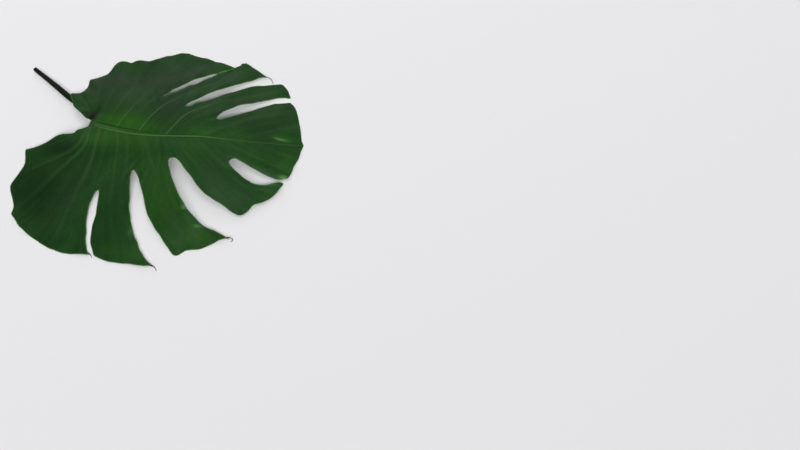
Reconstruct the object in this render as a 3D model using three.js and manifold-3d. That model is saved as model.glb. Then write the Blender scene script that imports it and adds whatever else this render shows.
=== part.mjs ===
// A cut monstera leaf lying face up on a table: arched blade with deep slots, midrib and leaf stalk.
// Millimetres, +Z up. The plan is drawn from the joint of stalk and blade, with +X towards the leaf tip.
import * as THREE from 'three';
import { mergeVertices } from 'three/addons/utils/BufferGeometryUtils.js';
import Module from 'manifold-3d';

// Blade
const BLADE_THICKNESS = 0.9;
const SURFACE_CELL = 12;
const PLATE_BORDER = 6;
const CURVE_SEGMENTS = 3;
const CUTTER_DEPTH = 80;
const SLOT_LINE_STEPS = 24;
const ROUTE_STEPS = 200;

// Arch of the blade: it falls from the midrib to the table within the reach, which differs by side
const MIDRIB_POINTS = [
  [0, 0, 26], [45, -13, 32], [107, -22, 37], [177, -18, 34], [243, -13, 22], [320, 0, 2],
];
const REACH_FRACTIONS = [0, 0.25, 0.5, 0.8, 1];
const REACH_UPPER = [128, 172, 168, 120, 100];
const REACH_LOWER = [175, 208, 190, 125, 100];
const BACK_REACH_UPPER = 95;
const BACK_REACH_LOWER = 122;
const ARCH_POWER = 1.25;

// Fold along the midrib, deepest at the joint
const FOLD_DEPTH = 4.5;
const FOLD_WIDTH = 24;
const FOLD_FADE = 0.7;

// Waves along the margin: height, count round the leaf, phase
const MARGIN_WAVES = [[2.2, 7, 0.6], [1.3, 13, 2]];
const WAVE_CENTRE = [120, -20];
const WAVE_START = 0.45;

// Lift of a lobe's edge on the base side of a slot, and drop of the edge on its tip side
const SLOT_LIFT = 5;
const SLOT_LIFT_RAMP = 8;
const SLOT_LIFT_SPREAD = 25;

// Leaf stalk and the rib under the blade
const STALK_POINTS = [[-125, 108, 3.1], [-86, 79, 7], [-45, 46, 12.5], [1, 2, 18.5]];
const STALK_RADIUS_CUT = 3.1;
const STALK_RADIUS_JOINT = 3.9;
const RIB_RADIUS_TIP = 0.8;
const RIB_BITE = 0.5;
const STALK_SIDES = 12;
const STALK_STEPS = 60;
const DRAPE_CLEARANCE = 1.4;
const DRAPE_WIDTH = 60;
const DRAPE_BLEND = 4;

// Outline, once round the leaf from the joint: upper side, tip, lower side. Every stretch is a smooth curve
// that starts where the one before it ends. A slot runs in from its mouth, round its inner end and out again.
const OUTLINE_START = [-1, 1];
const OUTLINE = [
  { margin: 'upper basal lobe', stretches: [
    [[-12, 9], [-44, 46], [-47, 56]],
    [[-35, 60], [-29, 75], [-30, 90]],
    [[-11, 102], [-4, 117], [0, 133], [10, 139], [24, 136]],
    [[32, 141], [58, 143], [82, 156], [103, 164], [122, 161], [154, 153], [188, 144]],
  ] },
  { slot: 'first upper', side: 'upper', inner: [100, 55], mouth: [191, 143],
    inward: [[171, 134], [148, 111], [126, 90], [104, 62]],
    outward: [[109, 60], [129, 80], [151, 102], [174, 130], [193, 143]] },
  { margin: 'second upper lobe', stretches: [[[201, 151], [209, 150], [224, 140], [247, 122]]] },
  { slot: 'second upper', side: 'upper', inner: [140, 36], mouth: [254, 118],
    inward: [[234, 120], [205, 102], [167, 70], [143, 45]],
    outward: [[151, 42], [173, 59], [209, 91], [238, 108], [261, 113]] },
  { margin: 'third upper lobe', stretches: [[[270, 114], [277, 109], [284, 100], [289, 88]]] },
  { slot: 'third upper', side: 'upper', inner: [190, 19], mouth: [290, 84],
    inward: [[269, 86], [232, 65], [213, 51], [193, 28]],
    outward: [[199, 19], [232, 47], [262, 72], [290, 80]] },
  { margin: 'tip lobe', stretches: [
    [[301, 66], [310, 40], [315, 18], [322, 0]],
    [[318, -25], [313, -46], [308, -64]],
  ] },
  { slot: 'fourth lower', side: 'lower', inner: [222, -53], mouth: [305, -70],
    inward: [[295, -67], [275, -63], [246, -53], [229, -46]],
    outward: [[228, -63], [249, -76], [264, -81], [281, -79], [294, -72], [302, -76]] },
  { margin: 'fourth lower lobe', stretches: [
    [[297, -87], [289, -95], [275, -106], [263, -117], [256, -127], [247, -132], [238, -129]],
  ] },
  { slot: 'third lower', side: 'lower', inner: [141, -61], mouth: [240, -150],
    inward: [[211, -116], [190, -104], [170, -84], [148, -62]],
    outward: [[136, -68], [149, -97], [168, -127], [197, -153], [219, -161], [241, -170]] },
  { margin: 'third lower lobe', stretches: [
    [[231, -171], [209, -185], [198, -190], [182, -193]],
    [[172, -202], [164, -201]],
  ] },
  { slot: 'second lower', side: 'lower', inner: [88, -85], mouth: [154, -212],
    inward: [[148, -184], [122, -152], [113, -133], [105, -112], [96, -94]],
    outward: [[86, -94], [92, -133], [99, -162], [111, -187], [128, -212], [144, -224]] },
  { margin: 'second lower lobe', stretches: [
    [[136, -223], [126, -224], [100, -222], [76, -220], [54, -213]],
  ] },
  { slot: 'first lower', side: 'lower', inner: [41, -118], mouth: [52, -213],
    inward: [[46, -193], [44, -166], [45, -140], [44, -122]],
    outward: [[36, -128], [33, -150], [37, -183], [44, -206], [50, -213]] },
  { margin: 'lower basal lobe', stretches: [
    [[28, -213], [-3, -210], [-44, -191], [-64, -176], [-82, -157]],
    [[-83, -142], [-97, -115], [-98, -102], [-87, -74], [-92, -47]],
    [[-78, -45], [-60, -38], [-41, -25], [-20, -24]],
    [[-8, -14], [-1, -8]],
  ] },
];

// Looks
const LEAF_COLOUR = '#24461f';
const LEAF_ROUGHNESS = 0.42;

const wasm = await Module();
wasm.setup();

const points2 = (rows) => rows.map(([x, y]) => new THREE.Vector2(x, y));
const points3 = (rows) => rows.map(([x, y, z]) => new THREE.Vector3(x, y, z));
const middleOf = (row) => row[Math.floor(row.length / 2)];

// Lines that the surface follows
const midrib = new THREE.CatmullRomCurve3(points3(MIDRIB_POINTS), false, 'catmullrom', 0.5);
const midribLine = midrib.getSpacedPoints(ROUTE_STEPS);
const stalkLine = points3(STALK_POINTS);
const slotLines = OUTLINE.filter((part) => part.slot).map(slotMiddle);

// Middle line of a slot, from its inner end to its mouth
function slotMiddle({ side, inner, inward, outward, mouth }) {
  const [start, inBend, outBend, end] = points2([inner, middleOf(inward), middleOf(outward), mouth]);
  const line = new THREE.SplineCurve([start, inBend.lerp(outBend, 0.5), end]);
  return { side, line: line.getPoints(SLOT_LINE_STEPS) };
}

// Nearest place on a line of points, seen in plan: its distance, its fraction of the way, its height and
// the side of the line that the plan point is on, +1 to the left
function nearestOnLine(line, x, y) {
  let best = { distance: Infinity };
  for (let i = 0; i < line.length - 1; i++) {
    const a = line[i];
    const b = line[i + 1];
    const along = [b.x - a.x, b.y - a.y];
    const out = [x - a.x, y - a.y];
    const share = (out[0] * along[0] + out[1] * along[1]) / (along[0] ** 2 + along[1] ** 2);
    const t = THREE.MathUtils.clamp(share, 0, 1);
    const distance = Math.hypot(out[0] - t * along[0], out[1] - t * along[1]);
    if (distance < best.distance) {
      const side = along[0] * out[1] - along[1] * out[0] > 0 ? 1 : -1;
      const height = THREE.MathUtils.lerp(a.z ?? 0, b.z ?? 0, t);
      best = { distance, fraction: (i + t) / (line.length - 1), height, side };
    }
  }
  return best;
}

// How far from the midrib the blade comes down to the table
function reachAt(x, y, fraction, upper) {
  const row = upper ? REACH_UPPER : REACH_LOWER;
  let k = 0;
  while (k < REACH_FRACTIONS.length - 2 && fraction > REACH_FRACTIONS[k + 1]) {
    k += 1;
  }
  const span = REACH_FRACTIONS[k + 1] - REACH_FRACTIONS[k];
  const reach = THREE.MathUtils.lerp(row[k], row[k + 1], (fraction - REACH_FRACTIONS[k]) / span);
  const backward = fraction > 0 ? 0 : Math.max(0, -x) / Math.max(Math.hypot(x, y), 1);
  return THREE.MathUtils.lerp(reach, upper ? BACK_REACH_UPPER : BACK_REACH_LOWER, backward);
}

// The larger of two heights, with a rounded join
function roundedMax(a, b, blend) {
  const share = THREE.MathUtils.clamp(0.5 + (a - b) / (2 * blend), 0, 1);
  return b + (a - b) * share + blend * share * (1 - share);
}

// Height of the blade's underside above the table
function bladeHeight(x, y) {
  const rib = nearestOnLine(midribLine, x, y);
  const upper = rib.fraction > 0 ? rib.side > 0 : y > 0;
  const spread = rib.distance / reachAt(x, y, rib.fraction, upper);
  let height = rib.height * (1 - Math.min(spread, 1) ** 2) ** ARCH_POWER;
  height -= FOLD_DEPTH * Math.exp(-((rib.distance / FOLD_WIDTH) ** 2)) * (1 - FOLD_FADE * rib.fraction);

  const angle = Math.atan2(y - WAVE_CENTRE[1], x - WAVE_CENTRE[0]);
  const nearMargin = THREE.MathUtils.smoothstep(spread, WAVE_START, 1);
  for (const [rise, count, phase] of MARGIN_WAVES) {
    height += nearMargin * rise * Math.sin(count * angle + phase);
  }

  for (const { side, line } of slotLines) {
    const slot = nearestOnLine(line, x, y);
    const towardBase = slot.distance * slot.side * (side === 'upper' ? 1 : -1);
    const outward = THREE.MathUtils.smoothstep(slot.fraction, 0, 1);
    height += SLOT_LIFT * outward * Math.tanh(towardBase / SLOT_LIFT_RAMP)
      * Math.exp(-slot.distance / SLOT_LIFT_SPREAD);
  }

  const stalk = nearestOnLine(stalkLine, x, y);
  const drape = stalk.height + STALK_RADIUS_JOINT + DRAPE_CLEARANCE - stalk.distance ** 2 / DRAPE_WIDTH;
  return Math.max(0, roundedMax(height, drape, DRAPE_BLEND));
}

// Closed solid of a geometry
function solid(geometry) {
  geometry.deleteAttribute('normal');
  geometry.deleteAttribute('uv');
  const merged = mergeVertices(geometry);
  const vertProperties = new Float32Array(merged.attributes.position.array);
  const triVerts = new Uint32Array(merged.index.array);
  return new wasm.Manifold(new wasm.Mesh({ numProp: 3, vertProperties, triVerts }));
}

// Flat outline of the blade with its slots
function bladeShape() {
  const shape = new THREE.Shape();
  shape.moveTo(...OUTLINE_START);
  for (const part of OUTLINE) {
    const stretches = part.slot ? [[...part.inward, part.inner, ...part.outward]] : part.stretches;
    stretches.forEach((stretch) => shape.splineThru(points2(stretch)));
  }
  shape.closePath();
  return shape;
}

// Arched blade: a thin plate bent to the leaf's surface, trimmed by the outline
function blade() {
  const shape = bladeShape();
  const box = new THREE.Box2().setFromPoints(shape.getPoints(CURVE_SEGMENTS)).expandByScalar(PLATE_BORDER);
  const size = box.getSize(new THREE.Vector2());
  const centre = box.getCenter(new THREE.Vector2());
  const cells = [size.x, size.y].map((length) => Math.round(length / SURFACE_CELL));
  const plate = new THREE.BoxGeometry(size.x, size.y, BLADE_THICKNESS, cells[0], cells[1], 1);
  plate.translate(centre.x, centre.y, BLADE_THICKNESS / 2);
  const position = plate.attributes.position;
  for (let i = 0; i < position.count; i++) {
    position.setZ(i, position.getZ(i) + bladeHeight(position.getX(i), position.getY(i)));
  }
  const cutter = new THREE.ExtrudeGeometry(shape, {
    depth: CUTTER_DEPTH, bevelEnabled: false, curveSegments: CURVE_SEGMENTS,
  });
  cutter.translate(0, 0, -CUTTER_DEPTH / 4);
  return solid(plate).intersect(solid(cutter));
}

// Stalk and midrib: one tapered stem from the cut end, under the blade, to the leaf tip
function stem() {
  const ribPoints = MIDRIB_POINTS.slice(1).map(([x, y]) => new THREE.Vector3(x, y, 0));
  const route = new THREE.CatmullRomCurve3([...stalkLine, ...ribPoints], false, 'catmullrom', 0.5);
  const jointFraction = fractionNear(route, STALK_POINTS.at(-1));
  const stemGeometry = new THREE.CylinderGeometry(1, 1, 1, STALK_SIDES, STALK_STEPS);
  const position = stemGeometry.attributes.position;
  const up = new THREE.Vector3(0, 0, 1);
  for (let i = 0; i < position.count; i++) {
    const fraction = THREE.MathUtils.clamp(position.getY(i) + 0.5, 0, 1);
    const centre = route.getPointAt(fraction);
    const radius = stemRadius(fraction, jointFraction);
    if (fraction > jointFraction) {
      centre.z = bladeHeight(centre.x, centre.y) + RIB_BITE - radius;
    }
    const tangent = route.getTangentAt(fraction).setZ(0).normalize();
    const across = new THREE.Vector3().crossVectors(tangent, up);
    centre.addScaledVector(across, radius * position.getX(i)).addScaledVector(up, radius * position.getZ(i));
    position.setXYZ(i, centre.x, centre.y, Math.max(0, centre.z));
  }
  return solid(stemGeometry);
}

// Fraction of the way along a route that lies nearest to a point in plan
function fractionNear(route, [x, y]) {
  return nearestOnLine(route.getSpacedPoints(ROUTE_STEPS), x, y).fraction;
}

// Stem radius: it swells a little from the cut end to the joint, then tapers to the leaf tip
function stemRadius(fraction, jointFraction) {
  if (fraction < jointFraction) {
    return THREE.MathUtils.lerp(STALK_RADIUS_CUT, STALK_RADIUS_JOINT, fraction / jointFraction);
  }
  const share = (fraction - jointFraction) / (1 - jointFraction);
  return THREE.MathUtils.lerp(STALK_RADIUS_JOINT, RIB_RADIUS_TIP, share);
}

// The leaf as one solid, with its origin at the middle of its footprint on the table
function leafGeometry() {
  const mesh = blade().add(stem()).getMesh();
  const geometry = new THREE.BufferGeometry();
  geometry.setAttribute('position', new THREE.BufferAttribute(mesh.vertProperties, 3));
  geometry.setIndex(new THREE.BufferAttribute(mesh.triVerts, 1));
  geometry.computeBoundingBox();
  const { min, max } = geometry.boundingBox;
  geometry.translate(-(min.x + max.x) / 2, -(min.y + max.y) / 2, -min.z);
  geometry.computeVertexNormals();
  return geometry;
}

const leafMaterial = new THREE.MeshStandardMaterial({
  color: LEAF_COLOUR, roughness: LEAF_ROUGHNESS, metalness: 0,
});
const leaf = new THREE.Mesh(leafGeometry(), leafMaterial);
leaf.name = 'monstera_leaf';

const monsteraLeaf = new THREE.Group();
monsteraLeaf.add(leaf);
export default monsteraLeaf;
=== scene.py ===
# Looks of one cut monstera leaf, built around its CAD solid. Metres, in the CAD part's frame.
import math

import bmesh
import bpy
import numpy as np
from mathutils import Matrix, Vector
from mathutils.bvhtree import BVHTree
from mathutils.kdtree import KDTree
from mathutils.noise import noise_vector, seed_set


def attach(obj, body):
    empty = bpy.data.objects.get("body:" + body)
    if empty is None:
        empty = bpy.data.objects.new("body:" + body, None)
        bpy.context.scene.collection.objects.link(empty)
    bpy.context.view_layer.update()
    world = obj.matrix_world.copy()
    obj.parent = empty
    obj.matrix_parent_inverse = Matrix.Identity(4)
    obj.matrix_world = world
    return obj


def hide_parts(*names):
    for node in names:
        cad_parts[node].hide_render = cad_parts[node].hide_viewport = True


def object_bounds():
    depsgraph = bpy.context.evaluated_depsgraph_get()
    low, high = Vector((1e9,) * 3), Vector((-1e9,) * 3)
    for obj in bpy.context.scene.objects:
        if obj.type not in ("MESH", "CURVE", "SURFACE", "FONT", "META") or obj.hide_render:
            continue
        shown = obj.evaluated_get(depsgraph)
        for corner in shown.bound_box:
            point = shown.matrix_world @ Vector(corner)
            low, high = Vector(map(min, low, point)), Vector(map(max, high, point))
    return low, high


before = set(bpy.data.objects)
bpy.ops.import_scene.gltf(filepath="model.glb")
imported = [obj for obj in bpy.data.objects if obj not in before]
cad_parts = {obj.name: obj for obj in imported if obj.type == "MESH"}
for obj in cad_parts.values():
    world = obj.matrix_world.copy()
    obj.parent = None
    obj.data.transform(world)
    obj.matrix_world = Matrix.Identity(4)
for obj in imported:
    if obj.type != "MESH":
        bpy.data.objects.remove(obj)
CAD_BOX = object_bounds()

NODE = "monstera_leaf"
UP = Vector((0, 0, 1))

# Length from the joint of stalk and blade to the leaf tip
BLADE_LENGTH = 0.322

# Picture: the place on the floor in its middle, from the joint, and how the camera looks at it
PICTURE_CENTRE = (0.4792, -0.1239)
VIEW_ELEVATION = math.radians(60)
VIEW_TURN = math.radians(5.1)
VIEW_DISTANCE = 1.294
PICTURE_WIDTH_PX = 800
FOCAL_LENGTH_PX = 900
SENSOR_WIDTH_MM = 36

# Blade: the CAD faces that count as its upper side, its rim, its cells and its thickness
TOP_FACING = 0.15
MERGE_DISTANCE = 1e-5
RIM_STRAIGHT = math.radians(1.5)
RIM_STEP = 0.0018
RIM_SMOOTHING = 2
# Unevenness of the rim, by the distance from the joint
RIM_UNEVENNESS = [(0.12, 0), (0.16, 0.0010), (0.22, 0.0012)]
RIM_UNEVENNESS_SCALE = 70
RIM_UNEVENNESS_SEED = 3
CELL = 0.002
CUT_TOLERANCE = 1e-6
SURFACE_SMOOTHING = 60
SMOOTHING_FACTOR = 0.5
# Height from which rays are cast down on the blade, and height near which its low margin is looked for
HIGH_ABOVE = 1
NEAR_SURFACE = 0.01
BLADE_THICKNESS = 0.0006
TABLE_CLEARANCE = 0.0001
LOWEST = BLADE_THICKNESS + TABLE_CLEARANCE

# Small corrections of the margin: middle and half-widths in plan from the joint, and the shift there
NUDGES = [
    ((-0.029, 0.027), (0.016, 0.016), (-0.0055, 0.0)),
    ((-0.006, 0.003), (0.005, 0.005), (0.0, 0.0035)),
    ((-0.001, -0.003), (0.006, 0.005), (0.0005, 0.0065)),
    ((-0.033, 0.067), (0.010, 0.010), (0.0015, -0.0050)),
    ((-0.015, -0.021), (0.008, 0.006), (0.0, 0.0035)),
    ((0.209, 0.150), (0.009, 0.008), (-0.0065, 0.0015)),
    ((0.200, 0.146), (0.006, 0.006), (-0.001, 0.005)),
    ((0.278, -0.099), (0.020, 0.014), (0.0, -0.005)),
    ((0.301, -0.074), (0.008, 0.008), (0.002, 0.003)),
]

# Midrib in plan, from the joint to the leaf tip
MIDRIB_POINTS = [(0, 0), (0.045, -0.013), (0.107, -0.022), (0.177, -0.018), (0.243, -0.013), (0.321, 0)]
# Raised pale line of the midrib and, near the base, the dark crease above it: how far each lies to the
# upper side of the midrib's middle, by the fraction of the way to the tip
RIB_LINE_OFFSETS = [(0, -0.0020), (0.08, -0.0042), (0.3, -0.0038), (0.45, -0.0010), (0.6, 0), (1, 0)]
RIB_LINE_RISES = [(0, 0.0004), (0.4, 0.0005), (1, 0.0002)]
CREASE_OFFSETS = [(0, 0.0020), (0.1, 0.0038), (0.3, 0.0034), (0.45, 0.0012), (1, 0.001)]
CREASE_DEPTHS = [(0, 0.0010), (0.3, 0.0009), (0.42, 0)]
# Hollow band between line and crease, with where along the midrib it starts to show and is full
BAND_HOLLOW = 0.0004
BAND_SHOWS = (0.45, 0.3)
# Half-width of the line and of the crease, and how far from the midrib the cells are finer
RIB_LINE_WIDTH = 0.0009
REFINED_BAND = 0.010

# Side veins in plan from the joint, each from the midrib to the margin, in order from the base to the tip
# of the leaf, with how strongly its fine line and its soft band show
UPPER_VEINS = [
    (0.10, 0.2, [(0.002, 0.004), (-0.016, 0.034), (-0.040, 0.058)]),
    (0.06, 0.3, [(0.006, 0.004), (-0.004, 0.060), (-0.012, 0.098)]),
    (0.06, 0.3, [(0.014, 0.000), (0.016, 0.070), (0.018, 0.132)]),
    (0.10, 0.3, [(0.027, -0.006), (0.042, 0.060), (0.056, 0.138)]),
    (0.65, 0.3, [(0.042, -0.011), (0.057, 0.024), (0.084, 0.090), (0.106, 0.158)]),
    (0.10, 0.2, [(0.060, -0.016), (0.078, 0.030), (0.112, 0.100), (0.146, 0.150)]),
    (1.00, 0.4, [(0.079, -0.018), (0.092, 0.011), (0.117, 0.048), (0.165, 0.096), (0.212, 0.145)]),
    (0.80, 0.4, [(0.122, -0.020), (0.144, 0.019), (0.172, 0.044), (0.222, 0.079), (0.276, 0.108)]),
    (0.12, 0.2, [(0.172, -0.018), (0.205, 0.008), (0.252, 0.045), (0.300, 0.066)]),
    (0.10, 0.1, [(0.222, -0.015), (0.262, 0.010), (0.310, 0.038)]),
    (0.10, 0.1, [(0.268, -0.009), (0.296, 0.004), (0.317, 0.014)]),
]
LOWER_VEINS = [
    (0.10, 0.1, [(-0.002, -0.008), (-0.030, -0.034), (-0.085, -0.055)]),
    (0.30, 0.7, [(0.000, -0.009), (-0.009, -0.047), (-0.040, -0.067), (-0.092, -0.090)]),
    (0.20, 1.0, [(0.003, -0.010), (0.003, -0.048), (-0.025, -0.086), (-0.062, -0.130), (-0.090, -0.170)]),
    (0.08, 0.2, [(0.010, -0.009), (0.009, -0.064), (-0.012, -0.125), (-0.050, -0.183)]),
    (0.20, 0.9, [(0.019, -0.010), (0.021, -0.074), (0.009, -0.130), (-0.012, -0.205)]),
    (0.08, 0.2, [(0.032, -0.012), (0.036, -0.065), (0.028, -0.135), (0.020, -0.210)]),
    (0.20, 0.3, [(0.047, -0.015), (0.056, -0.049), (0.066, -0.130), (0.090, -0.219)]),
    (0.08, 0.2, [(0.062, -0.018), (0.076, -0.070), (0.082, -0.130), (0.118, -0.220)]),
    (0.08, 0.2, [(0.088, -0.021), (0.116, -0.075), (0.146, -0.135), (0.205, -0.180)]),
    (0.10, 0.2, [(0.108, -0.022), (0.130, -0.075), (0.162, -0.135), (0.230, -0.168)]),
    (0.08, 0.2, [(0.135, -0.021), (0.165, -0.055), (0.208, -0.092), (0.255, -0.122)]),
    (0.10, 0.2, [(0.165, -0.020), (0.200, -0.048), (0.240, -0.084), (0.288, -0.092)]),
    (0.10, 0.1, [(0.200, -0.019), (0.240, -0.033), (0.308, -0.052)]),
    (0.10, 0.1, [(0.248, -0.012), (0.282, -0.020), (0.316, -0.027)]),
]
# Steps between two points of a line, how far a vein's line runs on past its last point, the gap outside the
# first and the last vein, and the smallest gap that is divided by
LINE_STEPS = 12
VEIN_OVERRUN = 0.08
OUTER_GAP = 0.02
SMALLEST_GAP = 1e-9
# Behind the joint, where there is no midrib, the two halves of the blade part at this place across
NOTCH_PARTING = -0.004

# Relief of the upper side. CLEAR_OF_RIB and CLEAR_OF_RIM are where veins and panels start to show and where
# they are full.
VEIN_GROOVE_DEPTH = 0.0005
VEIN_GROOVE_WIDTH = 0.0022
PANEL_RISE = 0.0007
PANEL_GAP = 0.035
CLEAR_OF_RIB = (0.002, 0.014)
CLEAR_OF_RIM = (0, 0.012)
MARGIN_RIPPLE = 0.0009
MARGIN_RIPPLE_CENTRE = (0.12, -0.02)
MARGIN_RIPPLE_COUNT = 31
SECOND_RIPPLE = 0.6
SECOND_RIPPLE_COUNT = 1.7 * MARGIN_RIPPLE_COUNT
SECOND_RIPPLE_START = 1
MARGIN_RIPPLE_REACH = 0.012
MARGIN_ROLL = 0.0007
MARGIN_ROLL_REACH = 0.0025
DENT_HEIGHT = 0.002
DENTS = [(1.0, (0.166, -0.136), (0.006, 0.004)), (0.6, (0.102, -0.176), (0.004, 0.006))]
BULGES = [(1.0, (0.306, -0.062), (0.007, 0.005)), (0.5, (0.262, -0.118), (0.010, 0.006))]

# Deep fold beside the joint, in plan, with how much it fades, and between which fractions of its length
FOLD_POINTS = [(-0.007, 0.007), (-0.001, 0.011), (0.002, 0.018), (0.006, 0.029)]
FOLD_DEPTH = 0.003
FOLD_WIDTH = 0.0055
FOLD_FADING = 0.7
FOLD_FADES = (0.3, 1)

# Upper basal lobe lapped over the next lobe at the mouth of the first slot: line of the slot in plan, how
# far the lap goes, and between which fractions of the slot's length it grows
FIRST_SLOT_POINTS = [(0.100, 0.055), (0.127, 0.085), (0.149, 0.106), (0.172, 0.131), (0.192, 0.143)]
LAP = 0.009
LAP_GROWS = (0.45, 0.8)
LAP_SINK = 0.001
LAP_SPREAD = 0.015

# Lobes that lie closer to the table than the CAD arch: share of the height that they lose, middle and
# half-widths in plan from the joint
SETTLED_LOBES = [(0.6, (0.030, -0.155), (0.060, 0.070)), (0.45, (0.105, -0.160), (0.050, 0.065))]

# Stalk, and the rib that it becomes under the blade
STALK_POINTS = [
    (-0.125, 0.108, 0.0033), (-0.083, 0.077, 0.0065), (-0.050, 0.052, 0.009), (-0.018, 0.029, 0.015),
    (0.004, 0.006, 0.0185),
]
STALK_RADII = [(0, 0.0032), (0.25, 0.0042), (0.6, 0.0049), (0.8, 0.0043), (1, 0.0040)]
RIB_RADII = [(0, 0.0040), (0.15, 0.0033), (0.6, 0.0017), (1, 0.0006)]
# Where the rib starts and ends along the midrib, and where the stalk starts to turn into it, as fractions
RIB_START = 0.03
RIB_END = 0.97
STALK_KNEE = 0.9
STALK_CLEARANCE = 0.0004
STEM_SIDES = 24
STALK_GROOVE = 0.22
STALK_GROOVE_WIDTH = 0.38
RIB_FLATTENING = 0.3
RIB_BITE = 0.0003
CUT_RIM = 0.0004
CUT_HOLLOW = 0.0003

# Thin dry tips of four lobes, in plan from the joint
TENDRILS = [
    [(0.243, 0.124), (0.252, 0.121), (0.257, 0.115)],
    [(0.236, -0.168), (0.2415, -0.1685), (0.2450, -0.1705), (0.2425, -0.1735)],
    [(0.138, -0.222), (0.144, -0.224), (0.147, -0.228)],
    [(0.047, -0.211), (0.050, -0.213), (0.052, -0.216)],
]
TENDRIL_RADII = [(0, 0.0006), (1, 0.0003)]
TENDRIL_RISE = 0.001
TENDRIL_END_HEIGHT = 0.001

# Finishes, by their number on the leaf
UNDERSIDE_FINISH = 1
RIM_FINISH = 2
STALK_FINISH = 3
CUT_FINISH = 4
SHARP_ANGLE = math.radians(40)

# Fields that the materials read from the leaf's vertices
ATTRIBUTES = [
    "rib_side", "rib_along", "rib_line", "rib_crease", "vein_phase", "vein_gap", "vein_line", "vein_band",
    "vein_out", "rim", "fresh_and_lit", "dark", "joint", "fold", "glint",
]

# Lighter, fresher green, in part painted highlight; darker green, some of it painted shade; the brown at the
# joint;
# and painted highlights (glints): strength, middle and half-widths in plan from the joint
FRESH_AND_LIT_PATCHES = [
    (1.0, (0.047, 0.001), (0.045, 0.017)),
    (0.4, (0.080, -0.008), (0.030, 0.014)),
    (0.8, (0.025, -0.030), (0.032, 0.016)),
    (0.5, (0.085, -0.036), (0.040, 0.022)),
    (0.4, (0.160, -0.036), (0.028, 0.014)),
    (0.5, (0.165, -0.008), (0.030, 0.012)),
    (0.25, (0.078, -0.203), (0.016, 0.010)),
    (0.3, (0.262, -0.040), (0.022, 0.014)),
    (0.5, (0.145, -0.130), (0.036, 0.050)),
    (0.5, (0.195, -0.172), (0.028, 0.014)),
    # Painted highlight on the fold near the tip
    (0.6, (0.290, 0.006), (0.014, 0.006)),
    (0.4, (0.302, -0.034), (0.014, 0.020)),
]
# Darker green patches, some of them painted shade
DARK_PATCHES = [
    (0.7, (-0.062, -0.108), (0.050, 0.050)),
    (0.65, (0.118, 0.034), (0.042, 0.026)),
    (0.5, (0.095, 0.085), (0.050, 0.032)),
    (0.5, (0.000, 0.104), (0.026, 0.024)),
    (0.4, (0.204, -0.074), (0.032, 0.032)),
    (0.3, (0.112, 0.008), (0.026, 0.014)),
    (0.3, (0.124, -0.045), (0.022, 0.016)),
    (0.2, (0.145, -0.130), (0.036, 0.050)),
    (0.8, (-0.034, -0.050), (0.030, 0.016)),
    (0.4, (-0.020, -0.140), (0.050, 0.050)),
    (0.4, (-0.006, 0.072), (0.030, 0.030)),
    # Painted shade in the crease beside the joint
    (0.8, (-0.008, 0.014), (0.010, 0.009)),
    (0.4, (0.000, 0.028), (0.008, 0.010)),
]
JOINT_PATCHES = [(0.7, (0.004, 0.006), (0.006, 0.010))]
# Painted highlights; the last row is painted sheen
GLINTS = [
    (0.6, (0.170, -0.134), (0.004, 0.003)),
    (0.6, (0.192, -0.157), (0.005, 0.002)),
    (0.7, (0.287, 0.003), (0.010, 0.002)),
    (0.9, (0.301, -0.062), (0.006, 0.003)),
    (0.5, (0.284, -0.077), (0.009, 0.003)),
    (0.25, (0.101, -0.176), (0.003, 0.006)),
    (0.12, (0.118, -0.208), (0.022, 0.014)),
]
PATCH_FIELDS = {"fresh_and_lit": FRESH_AND_LIT_PATCHES, "dark": DARK_PATCHES, "joint": JOINT_PATCHES, "glint": GLINTS}

# Colours, 0 to 255
GREEN_DEEP = (22, 56, 19)
GREEN_MIDDLE = (28, 67, 23)
# Lighter, fresher green, in part painted highlight
GREEN_FRESH_AND_LIT = (36, 82, 18)
# Darker green for the darker patches, some of them painted shade, and painted shade in the midrib's crease
GREEN_DARK = (18, 41, 18)
# Painted highlight along the ridges of the side veins
VEIN_PAINTED_HIGHLIGHT = (70, 100, 58)
VEIN_PALE = (104, 142, 90)
# Paler midrib, and painted highlight on its lit shoulder
RIB_PALE = (96, 138, 70)
JOINT_BROWN = (50, 58, 40)
# Painted shade in the fold beside the joint
FOLD_PAINTED_SHADE = (5, 14, 4)
# Painted highlight
GLINT_GREEN = (84, 134, 72)
RIM_DEEP = (66, 100, 48)
RIM_PALE = (100, 134, 86)
UNDERSIDE_DEEP = (66, 98, 52)
UNDERSIDE_PALE = (82, 114, 66)
UNDERSIDE_VEIN = (118, 142, 92)
STALK_DARK = (17, 21, 16)
STALK_PALE = (30, 37, 28)
RIB_UNDER_DEEP = (84, 112, 62)
RIB_UNDER_PALE = (110, 136, 84)
VESSEL_DARK = (46, 44, 34)
PITH = (120, 116, 88)

# Patterns of the finishes. Widths are where a line or a dot is full and where it is gone, fades are where a
# line starts to fade and where it has faded, and a bump is its depth and its strength. ON_BLADE is where, as
# a fraction of the midrib, lines begin to show and are full.
SOFT_NOISE = (0.3, 0.7)
STEEP_NOISE = (0.35, 0.65)
ROUGH_DETAIL = 3
ON_BLADE = (0, 0.06)

# Side veins
VEIN_CLEAR_OF_RIB = (0.001, 0.004)
VEIN_END_STRENGTH = 0.12
HALO_WIDTHS = (0.0005, 0.0055)
HALO_FADES = (0.05, 0.135)
HALO_STRENGTH = 0.20
VEIN_WIDTHS = (0.0003, 0.0010)
VEIN_FADES = (0.035, 0.085)
VEIN_STRENGTH = 0.30
UNDER_VEIN_WIDTHS = (0.0006, 0.0018)
UNDER_VEIN_FADES = (0.1, 0.3)
UNDER_VEIN_STRENGTH = 0.6

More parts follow.
